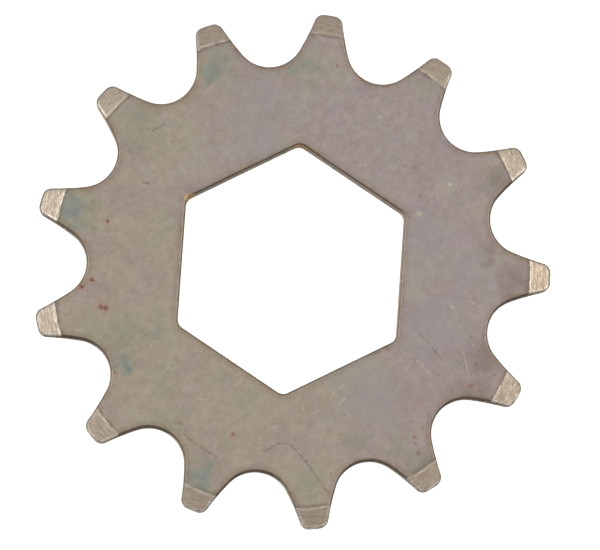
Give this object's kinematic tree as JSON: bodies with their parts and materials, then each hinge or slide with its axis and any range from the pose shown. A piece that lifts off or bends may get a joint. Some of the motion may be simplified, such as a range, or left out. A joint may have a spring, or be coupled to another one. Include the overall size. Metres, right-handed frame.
{
  "type": "chain sprocket",
  "caption": "Flat toothed steel wheel for roller chain, with tip-chamfered teeth round the rim and a hexagonal bore for a hexagonal shaft.",
  "frame": {"origin": "centre of the hexagonal bore, half way through the plate, on the chain line", "axes": "+Z along the shaft axis, out of the front face; +Y towards the tooth that stands over a corner of the hexagon; +X along a flat-to-flat line of the bore"},
  "size_m": [0.0572, 0.0568, 0.003],
  "materials": {
    "steel": "heat-tinted and lightly oxidised mild steel, fine turned grain on the tooth chamfers, dark sheared edges"
  },
  "bodies": {
    "root": {"sprocket_plate": "steel"}
  },
  "joints": []
}
